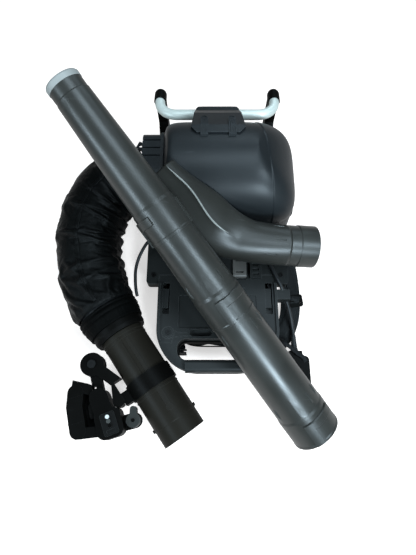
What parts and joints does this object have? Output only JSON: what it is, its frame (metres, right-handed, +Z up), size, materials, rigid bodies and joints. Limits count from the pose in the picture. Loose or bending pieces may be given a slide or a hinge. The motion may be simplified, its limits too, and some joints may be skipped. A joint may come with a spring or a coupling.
{
  "type": "backpack leaf blower",
  "caption": "Battery backpack blower: fan housing on a harness frame, sleeved hose, swivel pipe with control handle, three-piece blow tube and spare flat nozzle.",
  "frame": {"origin": "centre of the footprint on the ground", "axes": "+Z up, away from the wearer's back; +Y down the wearer's back towards the stand bar; +X to the wearer's left"},
  "size_m": [0.6388, 0.8272, 0.4504],
  "materials": {
    "black_plastic": "matte",
    "grey_plastic": "satin",
    "dark_plastic": "matte",
    "light_plastic": "satin",
    "white_plastic": "gloss",
    "steel": "satin",
    "cast_metal": "matte",
    "copper": "satin",
    "aluminium": "satin",
    "black_rubber": "matte",
    "black_fabric": "matte",
    "pale_ring": "matte"
  },
  "bodies": {
    "machine": {"harness_frame": "black_plastic", "dock_plate": "grey_plastic", "housing_front": "grey_plastic", "housing_rear": "grey_plastic", "inlet_grille": "black_plastic", "motor_mount": "cast_metal", "motor_stator": "copper", "motor_bearings": "steel", "control_box": "black_plastic", "outlet_duct": "grey_plastic", "duct_gasket": "black_rubber", "duct_band": "steel", "foot_bar": "aluminium", "bar_clamp": "grey_plastic", "bar_saddle": "grey_plastic", "clamp_screws": "steel", "dock_screws": "steel", "terminal_block": "black_plastic", "cable_keeper": "grey_plastic", "power_cable": "black_rubber", "cable_relief": "black_rubber", "power_plug": "black_plastic", "control_cable": "black_rubber", "cable_glands": "black_plastic", "hose_bellows": "black_rubber", "hose_sleeve": "black_fabric", "back_pad": "black_fabric", "strap_left": "black_fabric", "strap_right": "black_fabric", "hip_belt": "black_fabric", "strap_adjusters": "black_plastic"},
    "fan": {"impeller": "black_plastic", "motor_rotor": "steel"},
    "latch": {"battery_latch": "light_plastic"},
    "hose_end": {"hose_cuff": "black_fabric", "hose_collar": "black_plastic"},
    "swivel": {"swivel_pipe": "dark_plastic", "handle_clamp": "black_plastic", "clamp_knob": "black_plastic", "handle_arm": "black_plastic", "tilt_bolt": "steel"},
    "handle": {"grip_body": "black_plastic", "grip_cover": "black_plastic", "guard_bow": "black_plastic", "keypad_panel": "light_plastic", "trigger_pin": "steel"},
    "trigger_body": {"trigger": "black_plastic"},
    "power_key": {"power_button": "white_plastic"},
    "mode_key": {"mode_button": "light_plastic"},
    "boost_key": {"boost_button": "black_plastic"},
    "cruise_body": {"cruise_lever": "light_plastic"},
    "wand_lower": {"tube_lower": "grey_plastic"},
    "wand_middle": {"tube_middle": "grey_plastic"},
    "wand_tip": {"tube_nozzle": "grey_plastic", "wear_ring": "pale_ring"},
    "spare_nozzle": {"flat_nozzle": "grey_plastic", "nozzle_collar": "grey_plastic"}
  },
  "joints": [
    {"name": "fan_spin", "type": "hinge", "parent": "machine", "child": "fan", "pos_m": [0.095, 0.1834, 0.12], "axis": [0, 0, 1], "continuous": true},
    {"name": "latch_slide", "type": "slide", "parent": "machine", "child": "latch", "axis": [0, 1, 0], "range_m": [0, 0.006], "stiffness_N_per_m": 500, "springref_m": -0.001},
    {"name": "hose_swing", "type": "hinge", "parent": "machine", "child": "hose_end", "pos_m": [-0.128, 0.0084, 0.1], "axis": [0, 0, 1], "range_deg": [-12, 0], "deforming": ["hose_bellows", "hose_sleeve", "control_cable"]},
    {"name": "swivel_turn", "type": "hinge", "parent": "hose_end", "child": "swivel", "pos_m": [-0.1582, -0.1591, 0.072], "axis": [0.568, -0.822, -0.04], "range_deg": [-95, 0]},
    {"name": "handle_tilt", "type": "hinge", "parent": "swivel", "child": "handle", "pos_m": [-0.203, -0.2426, 0.082], "axis": [0, 0, 1], "range_deg": [-25, 0]},
    {"name": "trigger_pull", "type": "hinge", "parent": "handle", "child": "trigger_body", "pos_m": [-0.19151, -0.31438, 0.082], "axis": [0, 0, 1], "range_deg": [0, 12], "stiffness_Nm_per_rad": 0.4, "springref_deg": -6.88},
    {"name": "cruise_turn", "type": "hinge", "parent": "handle", "child": "cruise_body", "pos_m": [-0.10873, -0.35599, 0.082], "axis": [0, 0, 1], "range_deg": [0, 35]},
    {"name": "power_press", "type": "slide", "parent": "handle", "child": "power_key", "axis": [0, 0, -1], "range_m": [0, 0.0014], "stiffness_N_per_m": 500, "springref_m": -0.0008},
    {"name": "mode_press", "type": "slide", "parent": "handle", "child": "mode_key", "axis": [0, 0, -1], "range_m": [0, 0.0014], "stiffness_N_per_m": 500, "springref_m": -0.0008},
    {"name": "boost_press", "type": "slide", "parent": "handle", "child": "boost_key", "axis": [0, 0, -1], "range_m": [0, 0.0014], "stiffness_N_per_m": 500, "springref_m": -0.0008},
    {"name": "wand_lift", "type": "slide", "parent": "machine", "child": "wand_lower", "axis": [0, 0, 1], "range_m": [0, 0.12]},
    {"name": "middle_twist", "type": "hinge", "parent": "wand_lower", "child": "wand_middle", "pos_m": [0.09614, -0.16101, 0.18551], "axis": [-0.5776, 0.6906, 0.4352], "range_deg": [0, 20]},
    {"name": "tip_twist", "type": "hinge", "parent": "wand_middle", "child": "wand_tip", "pos_m": [-0.02112, -0.02082, 0.27386], "axis": [-0.5776, 0.6906, 0.4352], "range_deg": [0, 20]},
    {"name": "nozzle_slide", "type": "slide", "parent": "machine", "child": "spare_nozzle", "axis": [0.9945, 0, 0.1045], "range_m": [0, 0.09]}
  ]
}
